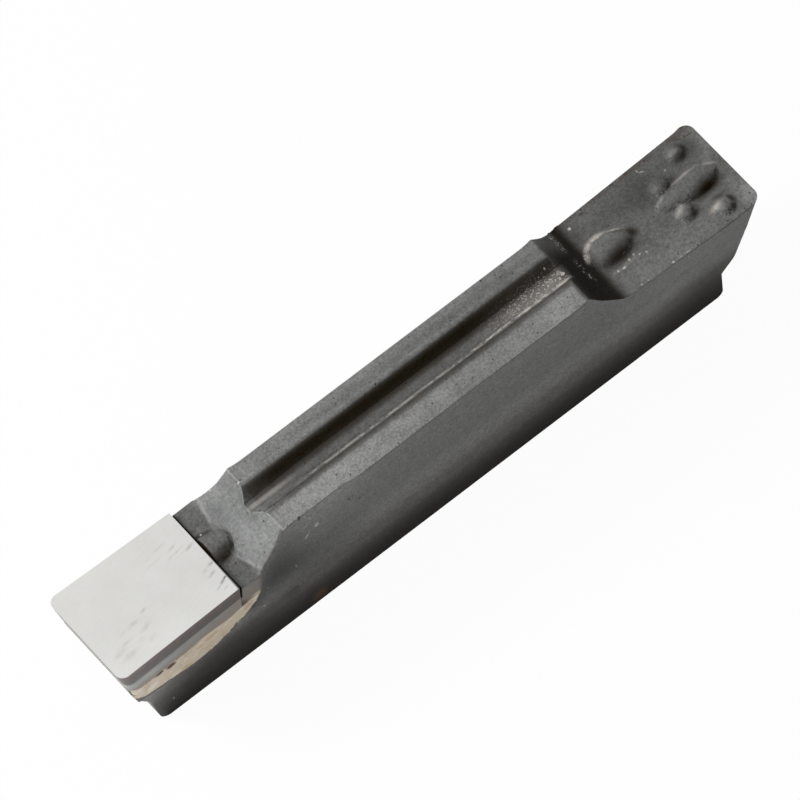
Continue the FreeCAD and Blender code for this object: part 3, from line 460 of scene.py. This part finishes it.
def sinteredCarbide():
    look = colours(sinterLook)
    f = Finish("sinteredCarbide")
    x, y, z = f.x, f.y, f.z
    normal = f.node("ShaderNodeTexCoord", output="Normal")
    faceX = f.node("ShaderNodeSeparateXYZ", {}, [normal], "X")
    faceY = f.sibling(faceX, "Y")
    faceZ = f.sibling(faceX, "Z")
    up = f.ease(faceZ, 0.35, 0.65)
    flank = f.ease(abs(faceY), 0.7, 0.95)
    edge = f.node("ShaderNodeAttribute", {"attribute_name": "brokenEdge"}, output="Fac")
    broad = f.grain(0.8, 1, 3.0)
    blotch = f.grain(0.22, 8, 3.0)
    fine = f.grain(0.075, 2, 3.0, rough=0.7)
    grit = f.grain(0.03, 3, 2.0)
    ragged = (f.grain(0.12, 4, 2.0) - 0.5) * 0.1

    mottle = f.ease(broad * 0.2 + blotch * 0.22 + fine * 0.58, 0.37, 0.63)
    lands = f.ease(z, 4.82, 4.86) * up
    arch = f.curve(y, [(-1.4, 4.7), (-1.2, 4.64), (-0.95, 4.55), (-0.7, 4.46), (-0.45, 4.4), (0.0, 4.38), (0.3, 4.42),
                       (0.5, 4.47), (0.7, 4.54), (0.95, 4.6), (1.2, 4.65), (1.4, 4.72)])
    onset = x - arch + ragged * 0.4
    slope = up * f.ease(onset, -0.03, 0.03) * f.ease(x, 5.7, 5.6) * f.ease(z, 4.86, 4.84)
    colour = f.blend(look["dark"], look["light"], mottle)
    colour = f.blend(colour, f.blend(look["landDark"], look["land"], mottle), lands)
    colour = f.blend(colour, f.blend(look["slopeDark"], look["slope"], mottle), slope)
    grain = f.ease(fine * 0.4 + grit * 0.6, 0.3, 0.7) * 0.8 + blotch * 0.5 + 0.35
    ground = f.blend(look["flankLow"], look["flank"], f.ease(z, 0.8, 2.4))
    colour = f.blend(colour, f.scaled(ground, grain), flank)
    # painted light and shade by place
    colour = f.scaled(colour, carbideToneAndPaintedLight(f, flank, slope))
    # painted shade: the flank darker still at its foot
    paintedFootShade = flank * f.ease(z + (broad - 0.5) * 0.8, 1.4, 0.2)
    colour = f.blend(colour, look["foot"], paintedFootShade * 0.5)

    # edges: a painted highlight line where the slope starts and ends, dark ones along the near side
    footLine = up * f.ease(abs(onset - 0.02), 0.075, 0.01) * f.ease(abs(y), 0.45, 0.65)
    topEdgeHighlight = edge * f.ease(x, 5.2, 5.25) * f.ease(x, 5.68, 5.62)
    colour = f.blend(colour, look["edge"], (footLine * 0.5 + topEdgeHighlight * 0.35) * (fine * 0.8 + 0.4))
    side = f.ease(y, -1.0, -1.1)
    slopeSide = slope * f.ease(y - x * 0.26, -2.47, -2.54) * 0.65
    lower = edge * side * f.ease(faceZ, 0.85, 0.5)
    rim = lower * (f.ease(x, 7.4, 8.4) * 0.3 + f.ease(x, 7.7, 7.4) * 0.45) * f.ease(x, 5.4, 5.6)
    under = flank * side * f.ease(z, 4.77, 4.84) * f.ease(x, 7.6, 8.6) * 0.12
    rearRim = lower * f.ease(x, 17.2, 19.5) * 0.6
    darkened = slopeSide.greater((rim + rearRim) * f.ease(fine, 0.25, 0.5) + under)
    colour = f.blend(colour, look["rust"], darkened.capped(0.9))

    pits = f.specks(0.3, 0.035, 5) * f.ease(f.grain(0.7, 6), 0.48, 0.56)
    pits = pits + f.specks(0.17, 0.022, 9) * f.ease(f.grain(0.5, 10), 0.45, 0.55)
    pits = (pits * up).capped(1.0)
    colour = f.blend(colour, look["pit"], pits * 0.6)
    marks = f.spots([
        ((17.25, 1.24, 4.05), (0.12, 0.05, 0.2), (0, 0, 0), 1.0),
        ((17.9, 1.3, 4.05), (0.06, 0.03, 0.2), (0, 0, 0), 0.6),
        ((18.35, 1.38, 4.05), (0.06, 0.04, 0.2), (0, 0, 0), 1.0),
        ((18.85, 1.38, 4.05), (0.08, 0.06, 0.2), (0, 0, 0), 1.0),
        ((19.45, 1.36, 4.05), (0.06, 0.05, 0.2), (0, 0, 0), 1.0),
        ((20.78, 1.44, 4.1), (0.08, 0.04, 0.2), (0, 0, 0), 1.0),
        ((20.8, 1.17, 4.1), (0.26, 0.03, 0.2), (0, 0, -10), 0.9),
        ((20.5, 1.26, 4.1), (0.16, 0.03, 0.2), (0, 0, -28), 0.8),
        ((18.7, -0.76, 4.05), (0.05, 0.04, 0.2), (0, 0, 0), 0.8),
        ((18.3, -0.95, 4.05), (0.07, 0.05, 0.2), (0, 0, 20), 0.5),
        ((4.3, -0.72, 4.05), (0.05, 0.045, 0.2), (0, 0, 0), 1.1),
        ((4.4, 0.75, 4.05), (0.05, 0.045, 0.2), (0, 0, 0), 0.6),
        ((5.52, -0.26, 4.75), (0.05, 0.05, 0.2), (0, 0, 0), 0.8),
        ((5.66, 0.68, 4.85), (0.04, 0.03, 0.2), (0, 0, 0), 0.9),
        ((6.1, -1.12, 4.85), (0.06, 0.04, 0.2), (0, 0, 0), 1.0),
        ((14.3, 0.82, 4.8), (0.04, 0.04, 0.2), (0, 0, 0), 1.0),
        ((13.85, 1.07, 4.8), (0.06, 0.05, 0.2), (0, 0, 0), 1.0),
        ((14.75, 1.08, 4.8), (0.04, 0.03, 0.2), (0, 0, 0), 1.0),
    ], soft=0.6)
    colour = f.blend(colour, look["rust"], marks * 0.9)
    farBrown = up * f.ease(x, 16.3, 16.6) * f.ease(y, 1.2, 1.36) * f.ease(blotch, 0.4, 0.6) * 0.5
    colour = f.blend(colour, look["rust"], farBrown)
    pale, dark, rusty = flankMarks(f)
    colour = f.blend(colour, look["stain"], rusty * flank * 0.7)
    colour = f.blend(colour, look["foot"], dark * flank * 0.7)
    colour = f.blend(colour, look["scratch"], (pale * flank).capped(0.95))

    # bare metal and braze behind the tip
    bare = flank * f.ease(x + ragged, 4.7, 4.45) * f.ease(z, 3.0, 3.15) * f.ease(z + x * 0.3, 5.5, 5.1)
    colour = f.blend(colour, look["bareMetal"], bare * 0.85)
    share, shadow = brazeShare(f)
    colour = f.blend(colour, look["foot"], shadow * flank * 0.55)
    colour = f.blend(colour, brazeColour(f), share * flank)

    # painted shade and residue, drawn with a plain diffuse surface
    sootAndShade = residueAndPaintedShade(f, ragged, (faceX, faceY, up), flank)
    sootAndShade = sootAndShade * (0.85 + fine * 0.3)
    # dust, with painted highlights
    dustAndHighlight = dustAndPaintedHighlights(f, ragged, fine, up)
    dustAndHighlight = dustAndHighlight.capped(0.92)
    colour = f.blend(colour, look["dustAndHighlight"], dustAndHighlight)
    sootAndShade = (sootAndShade * (1 - dustAndHighlight)).capped(1.0)
    colour = f.blend(colour, f.blend(look["sootAndShade"], look["smokeAndShade"], f.ease(x, 15.5, 15.7) * f.ease(x, 16.6, 16.4)), sootAndShade)

    height = fine * 0.7 + grit * 0.3 - pits * 1.5
    bump = f.node("ShaderNodeBump", {}, {
        "Strength": 1.0, "Distance": look["grainDepth"] * mm, "Height": height * (1 - flank * 0.6)})
    metal = f.surface({
        "Base Color": colour, "Roughness": look["roughness"] + grit * 0.16 + dustAndHighlight * 0.3, "Normal": bump,
        "Specular IOR Level": look["specular"]})
    matt = f.node("ShaderNodeBsdfDiffuse", {}, {"Color": colour, "Normal": bump})
    return f.done(f.node("ShaderNodeMixShader", {}, [sootAndShade, metal, matt]))


# the ground carbide under the superhard layer
backingLook = {
    "front": (0.44, 0.46, 0.445), "rear": (0.33, 0.325, 0.31), "brown": (0.35, 0.295, 0.255),
    "shade": (0.15, 0.14, 0.13), "roughness": 0.36, "metallic": 0.1,
}


def groundBacking():
    look = colours(backingLook)
    f = Finish("groundBacking")
    lines = f.grain(0.03, 11, 2.0, stretch=(14, 14, 1))
    tone = f.grain(0.6, 12, 2.0)
    colour = f.blend(look["front"], look["rear"], f.ease(f.x, 0.4, 2.8))
    colour = f.scaled(colour, tone * 0.3 + lines * 0.3 + 0.7)
    low = f.ease(f.z - f.ease(f.x, 1.8, 3.2) * 0.12 + (tone - 0.5) * 0.1, 3.42, 3.34)
    brown = (low * 0.8).greater(f.ease(f.x, 3.45, 3.7) * 0.9)
    colour = f.blend(colour, look["brown"], brown)
    colour = f.blend(colour, look["shade"], f.ease(f.z, 3.57, 3.7) * f.ease(f.x, 2.4, 1.6) * 0.65)
    shader = f.surface({
        "Base Color": colour, "Roughness": look["roughness"] + lines * 0.2, "Metallic": look["metallic"]}, lines, 0.004)
    return f.done(shader)


# lapped superhard top with ground sides
layerLook = {
    "top": (0.705, 0.70, 0.68), "topDull": (0.665, 0.66, 0.64), "side": (0.120, 0.105, 0.098),
    "sideBrown": (0.165, 0.125, 0.112), "smudge": (0.46, 0.42, 0.39), "stroke": (0.05, 0.05, 0.06),
    "roughness": 0.34,
}


def superhardLayer():
    look = colours(layerLook)
    f = Finish("superhardLayer")
    x, y, z = f.x, f.y, f.z
    top = f.ease(z, 4.256, 4.262)
    rubbed = f.moved(f.place, turn=(0, 0, math.radians(12)), scale=(5, 1, 1))
    streaks = f.grain(0.06, 22, 3.0, vector=rubbed)
    cloud = f.grain(0.9, 23, 3.0)
    patches = f.grain(0.12, 24, 3.0)
    colour = f.blend(look["top"], look["topDull"], f.ease(cloud * 0.6 + streaks * 0.4, 0.35, 0.7))
    # painted light: the near part of the top slightly brighter
    colour = f.scaled(colour, 1 + f.ease(y, -0.4, -1.4) * 0.05)
    smudges = f.spots([
        ((0.5, -0.85, 4.26), (0.3, 0.15, 0.2), (0, 0, 14), 0.6),
        ((0.75, -0.75, 4.26), (0.4, 0.07, 0.2), (0, 0, 8), 0.5),
        ((0.65, -1.08, 4.26), (0.45, 0.15, 0.2), (0, 0, 6), 0.5),
        ((1.23, -0.43, 4.26), (0.26, 0.1, 0.2), (0, 0, 15), 0.6),
        ((0.9, -0.47, 4.26), (0.2, 0.08, 0.2), (0, 0, 15), 0.25),
        ((1.67, -0.3, 4.26), (0.15, 0.06, 0.2), (0, 0, 12), 1.0),
        ((1.42, -0.7, 4.26), (0.32, 0.1, 0.2), (0, 0, 18), 0.6),
        ((1.15, -0.92, 4.26), (0.3, 0.12, 0.2), (0, 0, 15), 0.3),
        ((1.38, -1.06, 4.26), (0.25, 0.13, 0.2), (0, 0, 10), 0.35),
        ((3.3, 0.43, 4.26), (0.42, 0.05, 0.2), (0, 0, 8), 0.7),
        ((3.3, 0.6, 4.26), (0.24, 0.06, 0.2), (0, 0, 12), 0.7),
        ((3.1, 0.82, 4.26), (0.3, 0.06, 0.2), (0, 0, 8), 0.4),
        ((2.65, 0.73, 4.26), (0.16, 0.06, 0.2), (0, 0, 8), 0.45),
        ((2.7, 0.57, 4.26), (0.4, 0.05, 0.2), (0, 0, 6), 0.3),
        ((3.35, 0.3, 4.26), (0.25, 0.05, 0.2), (0, 0, 8), 0.5),
        ((3.66, 0.33, 4.26), (0.24, 0.07, 0.2), (0, 0, 14), 1.0),
        ((3.76, -0.4, 4.26), (0.16, 0.09, 0.2), (0, 0, 16), 1.2),
        ((3.55, -0.46, 4.26), (0.2, 0.07, 0.2), (0, 0, 14), 0.7),
        ((3.62, -0.64, 4.26), (0.24, 0.06, 0.2), (0, 0, 18), 1.1),
        ((3.65, -1.18, 4.26), (0.12, 0.05, 0.2), (0, 0, 14), 0.7),
    ], soft=1.0)
    colour = f.blend(colour, look["smudge"], smudges * (0.1 + f.ease(patches * 0.5 + streaks * 0.5, 0.3, 0.7) * 0.9))
    strokes = f.spots([
        ((3.68, -0.98, 4.26), (0.24, 0.055, 0.2), (0, 0, 24), 0.85),
        ((3.79, -0.93, 4.26), (0.11, 0.05, 0.2), (0, 0, 15), 0.9),
        ((3.52, -1.05, 4.26), (0.16, 0.04, 0.2), (0, 0, 28), 0.5),
        ((3.8, -0.4, 4.26), (0.1, 0.045, 0.2), (0, 0, 12), 0.35),
    ], soft=1.0)
    colour = f.blend(colour, look["stroke"], strokes * f.ease(patches * 0.5 + streaks * 0.5, 0.2, 0.55))
    seam = f.ease(x - y * 0.018, 3.856, 3.878)
    colour = f.blend(colour, look["stroke"], seam * 0.9)
    wander = f.grain(0.15, 21, 3.0)
    side = f.blend(look["side"], look["sideBrown"], f.ease(z + (wander - 0.5) * 0.3, 4.0, 4.12))
    colour = f.blend(f.scaled(side, 0.75 + wander * 0.5), colour, top)
    shader = f.surface({"Base Color": colour, "Roughness": look["roughness"] + streaks * 0.12}, streaks, 0.002)
    return f.done(shader)


# ground-off braze with voids
def brazeFiller():
    look = colours(brazeLook)
    f = Finish("brazeFiller")
    fine = f.grain(0.06, 34, 3.0)
    normal = f.node("ShaderNodeTexCoord", output="Normal")
    faceY = f.node("ShaderNodeSeparateXYZ", {}, [normal], "Y")
    ledge = f.ease(f.sibling(faceY, "Z"), 0.3, 0.6)
    upper = f.curve(f.x, brazeEdges["upper"])
    below = f.ease(upper - f.z, -0.03, 0.03)
    outside = f.blend(look["dark"], look["bare"], below.math("GREATER_THAN", f.z, 2.95))
    share = brazeShare(f)[0]
    front = f.ease(f.x, 0.42, 0.36)
    colour = f.blend(outside, brazeColour(f), share.greater(front * below))
    voids = f.spots([
        ((1.17, -1.4, 3.1), (0.17, 0.5, 0.12), (0, 0, 0), 1.3),
        ((1.54, -1.4, 3.02), (0.19, 0.5, 0.2), (0, 10, 0), 1.1),
        ((1.64, -1.4, 2.95), (0.12, 0.5, 0.1), (0, 0, 0), 0.8),
    ])
    line = f.ease(abs(f.z - upper + 0.05), 0.07, 0.025)
    line = line * f.ease(f.x, 0.4, 0.6) * f.ease(f.x, 2.7, 2.2) * (f.ease(fine, 0.35, 0.55) * 0.4 + 0.4)
    seam = f.ease(f.x, 3.87, 3.875) * f.ease(f.z, 3.5, 3.62)
    dark = voids.greater(line).greater(seam)
    colour = f.blend(colour, look["bare"], ledge * f.ease(f.x, 3.95, 3.85) * 0.9)
    colour = f.blend(colour, look["void"], dark * (1 - ledge))
    shader = f.surface({"Base Color": colour, "Roughness": look["roughness"] + fine * 0.2}, fine - voids * 2, 0.012)
    return f.done(shader)


# the insert body with broken edges, soft ridges, a fuller near side and a sintered skin; mm and degrees
skin = {
    "grooveRim": 0.09, "grooveFloor": 0.07, "grooveSteps": 4, "grooveMiddle": 0.05, "grooveHalf": 0.51,
    "edgeBreak": 0.03, "edgeSteps": 2, "sharpFrom": 22.0, "shortest": 0.12, "flatTo": 0.6, "smoothTo": 32,
    "headFrom": 15.45, "headTo": 21.0, "neckFrom": 3.9, "neckTo": 5.95, "cell": 0.055,
    "creaseFrom": 12, "creaseLength": 0.15, "ridgeReach": 0.14, "ridgePasses": 9,
    "fullMiddle": 0.065, "fullRear": 0.035, "sideFrom": 6.8, "sideTo": 20.8, "sideLow": 2.0, "sideHigh": 4.8,
    "sideCell": 0.2,
    "waviness": 0.009, "roughness": 0.004,
}


def point(vertex):  # in mm, x from the front cutting edge
    return vertex.co.x / mm + halfLength, vertex.co.y / mm, vertex.co.z / mm


def near(value, target, slack=0.004):
    return abs(value - target) < slack


def isGrooveEdge(edge, level, halfWidth):
    ends = [point(vertex) for vertex in edge.verts]
    return all(near(z, level) and near(abs(y - skin["grooveMiddle"]), halfWidth) for x, y, z in ends)


def soften(bm, edges, width, steps):
    made = bmesh.ops.bevel(bm, geom=edges, offset=width * mm, offset_type="OFFSET", affect="EDGES",
                           segments=steps, profile=0.5, material=-1, clamp_overlap=False)
    return made["faces"]


def sliceFaces(bm, isWanted, axis, start, stop, step):
    normal = Vector((axis == 0, axis == 1, axis == 2))
    for index in range(1, round((stop - start) / step)):
        place = start + index * step - (halfLength if axis == 0 else 0)
        faces = [face for face in bm.faces if isWanted(face)]
        geometry = set(faces)
        for face in faces:
            geometry.update(face.edges)
            geometry.update(face.verts)
        bmesh.ops.bisect_plane(bm, geom=list(geometry), dist=1e-7, plane_co=normal * place * mm, plane_no=normal)


def smooth(low, high, value):
    share = min(max((value - low) / (high - low), 0.0), 1.0)
    return share * share * (3 - 2 * share)


def fullness(x, y, z):  # how far the near side stands out behind the ground front part
    middle = smooth(7.5, 8.0, x) * smooth(15.65, 15.2, x) * smooth(2.4, 4.4, z) * skin["fullMiddle"]
    rear = smooth(16.4, 16.9, x) * smooth(20.7, 20.1, x) * smooth(2.6, 4.0, z) * skin["fullRear"]
    return (middle + rear) * smooth(-0.6, -1.05, y)


def buildInsertSkin():
    mesh = nodes["insert_body"].data.copy()
    mesh.name = "insertSkin"
    bm = bmesh.new()
    bm.from_mesh(mesh)
    edgeLayer = bm.faces.layers.float.new("brokenEdge")
    bmesh.ops.remove_doubles(bm, verts=bm.verts, dist=2e-7)
    bmesh.ops.dissolve_limit(bm, angle_limit=math.radians(skin["flatTo"]), verts=bm.verts, edges=bm.edges)

    creased = math.radians(skin["creaseFrom"])
    creases = {vertex for edge in bm.edges if not edge.is_convex and edge.calc_face_angle(0) > creased
               for vertex in edge.verts if point(vertex)[2] > 3.9 and edge.calc_length() < skin["creaseLength"] * mm}
    creases = [vertex.co.copy() for vertex in creases]
    soften(bm, [edge for edge in bm.edges if isGrooveEdge(edge, 4.87, skin["grooveHalf"])],
           skin["grooveRim"], skin["grooveSteps"])
    soften(bm, [edge for edge in bm.edges if isGrooveEdge(edge, 4.59, 0.14)], skin["grooveFloor"], skin["grooveSteps"])
    sharp = math.radians(skin["sharpFrom"])
    edges = [edge for edge in bm.edges
             if edge.is_convex and edge.calc_face_angle(0) > sharp and edge.calc_length() > skin["shortest"] * mm]
    broken = soften(bm, edges, skin["edgeBreak"], skin["edgeSteps"])
    for face in broken:
        if face.is_valid:
            face[edgeLayer] = 1.0

    def onHead(face):
        return face.normal.z > 0.3 and face.calc_center_median().x > (skin["headFrom"] - halfLength) * mm

    def onNeck(face):
        return face.normal.z > 0.3 and face.calc_center_median().x < (skin["neckTo"] - halfLength) * mm

    for isWanted, start, stop in ((onHead, "headFrom", "headTo"), (onNeck, "neckFrom", "neckTo")):
        sliceFaces(bm, isWanted, 0, skin[start], skin[stop], skin["cell"])
        sliceFaces(bm, isWanted, 1, -1.5, 1.5, skin["cell"])

    def nearSide(face):
        centre = face.calc_center_median() / mm
        return face.normal.y < -0.3 or face.normal.z > 0.9 and centre.z > 4.85 and centre.y < -0.4

    sliceFaces(bm, nearSide, 0, skin["sideFrom"], skin["sideTo"], skin["sideCell"])
    sliceFaces(bm, nearSide, 2, skin["sideLow"], skin["sideHigh"], skin["sideCell"])
    print("sliced", len(bm.faces))

    reach = skin["ridgeReach"] * mm
    tree = KDTree(len(creases))
    for index, place in enumerate(creases):
        tree.insert(place, index)
    tree.balance()
    soft = [vertex for vertex in bm.verts if tree.find(vertex.co)[2] < reach]
    for step in range(skin["ridgePasses"]):
        bmesh.ops.smooth_vert(bm, verts=soft, factor=0.5, use_axis_z=True)

    bm.normal_update()
    for vertex in bm.verts:
        x, y, z = point(vertex)
        vertex.co.y -= fullness(x, y, z) * mm
        top = z > 3.9 and (x > skin["headFrom"] + 0.2 or x < skin["neckTo"] - 0.2) and vertex.normal.z > 0.6
        if top and abs(y) < 1.3 and skin["neckFrom"] + 0.1 < x < 20.85:
            wave = noise.noise(Vector((x, y, z)) * 1.7) * skin["waviness"]
            wave += noise.noise(Vector((x, y, z)) * 9.0) * skin["roughness"]
            vertex.co += vertex.normal * wave * mm
    bmesh.ops.triangulate(bm, faces=[face for face in bm.faces if len(face.verts) > 4])
    for face in bm.faces:
        face.smooth = True
    for edge in bm.edges:
        edge.smooth = edge.calc_face_angle(0) < math.radians(skin["smoothTo"])
    bm.to_mesh(mesh)
    bm.free()
    mesh.materials.clear()
    mesh.materials.append(sinteredCarbide())
    piece = bpy.data.objects.new("insertSkin", mesh)
    bpy.context.scene.collection.objects.link(piece)
    weighted = piece.modifiers.new("evenNormals", "WEIGHTED_NORMAL")
    weighted.keep_sharp = True
    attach(piece, "root")
    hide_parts("insert_body")
    print("insert skin triangles", sum(len(face.vertices) - 2 for face in mesh.polygons))
    return piece


def dressNode(name, material):
    nodes[name].data.materials.clear()
    nodes[name].data.materials.append(material)


# camera: its aim in mm, its own axes, how far it is shifted along them, its distance in mm and its lens
stand = {
    "aim": (0.0, 0.0, 2.4),
    "right": (0.77142, -0.63294, -0.06562),
    "up": (0.58312, 0.66186, 0.47109),
    "toward": (-0.25474, -0.40167, 0.87964),
    "pan": (-0.3066, 0.8032),
    "distance": 257.96,
    "lens": 455.8,
}
# floor and light: the key panel's direction, distance and size in mm, and its power
studio = {
    "keyFrom": (-0.62, 0.44, 0.65), "keyDistance": 110, "keySize": 65, "keyPower": 0.115,
    "worldFill": 0.3, "floorWhite": 0.96, "floorTone": 0.93, "floorHalf": 2.0,
}


def buildCamera():
    right, up, toward = (Vector(stand[name]).normalized() for name in ("right", "up", "toward"))
    camera = bpy.data.objects.new("camera", bpy.data.cameras.new("camera"))
    bpy.context.scene.collection.objects.link(camera)
    place = Vector(stand["aim"]) + toward * stand["distance"] + right * stand["pan"][0] + up * stand["pan"][1]
    turn = Matrix((right, up, toward)).transposed().to_4x4()
    camera.matrix_world = Matrix.Translation(place * mm) @ turn
    camera.data.lens = stand["lens"]
    camera.data.clip_start = 0.01
    camera.data.clip_end = 10
    bpy.context.scene.camera = camera


def seenDirectly(f):
    camera = f.node("ShaderNodeLightPath", output="Is Camera Ray")
    glossy = f.sibling(camera, "Is Glossy Ray")
    through = f.sibling(camera, "Is Transmission Ray")
    return camera.greater(glossy).greater(through)


def buildStudio():
    f = Finish("floorWhite")
    plain = f.node("ShaderNodeBsdfDiffuse", {}, {"Color": (*[studio["floorTone"]] * 3, 1)})
    white = f.node("ShaderNodeEmission", {}, {"Color": (1, 1, 1, 1), "Strength": 1.0})
    camera = f.node("ShaderNodeLightPath", output="Is Camera Ray")
    f.done(f.node("ShaderNodeMixShader", {}, [camera * studio["floorWhite"], plain, white]))
    bm = bmesh.new()
    bmesh.ops.create_grid(bm, x_segments=1, y_segments=1, size=studio["floorHalf"])
    mesh = bpy.data.meshes.new("floor")
    bm.to_mesh(mesh)
    bm.free()
    mesh.materials.append(f.material)
    floor = bpy.data.objects.new("floor", mesh)
    bpy.context.scene.collection.objects.link(floor)

    world = bpy.data.worlds.new("studio")
    world.use_nodes = True
    bpy.context.scene.world = world
    world.node_tree.nodes.clear()
    w = Finish.__new__(Finish)
    w.tree = world.node_tree
    seen = seenDirectly(w)
    strength = seen * (1 - studio["worldFill"]) + studio["worldFill"]
    light = w.node("ShaderNodeBackground", {}, {"Color": (1, 1, 1, 1), "Strength": strength})
    w.node("ShaderNodeOutputWorld", {}, {"Surface": light})

    lamp = bpy.data.lights.new("keyPanel", "AREA")
    lamp.shape = "DISK"
    lamp.size = studio["keySize"] * mm
    lamp.energy = studio["keyPower"]
    key = bpy.data.objects.new("keyPanel", lamp)
    bpy.context.scene.collection.objects.link(key)
    direction = Vector(studio["keyFrom"]).normalized()
    key.location = direction * studio["keyDistance"] * mm
    key.rotation_mode = "QUATERNION"
    key.rotation_quaternion = direction.to_track_quat("Z", "Y")


bpy.context.scene.view_settings.view_transform = "Standard"
buildCamera()
buildStudio()
print("studio and camera ready")
insertSkin = buildInsertSkin()
print("insert body ready")
dressNode("cutting_layer", superhardLayer())
dressNode("tip_backing", groundBacking())
dressNode("braze_joint", brazeFiller())
print("tip and braze ready")
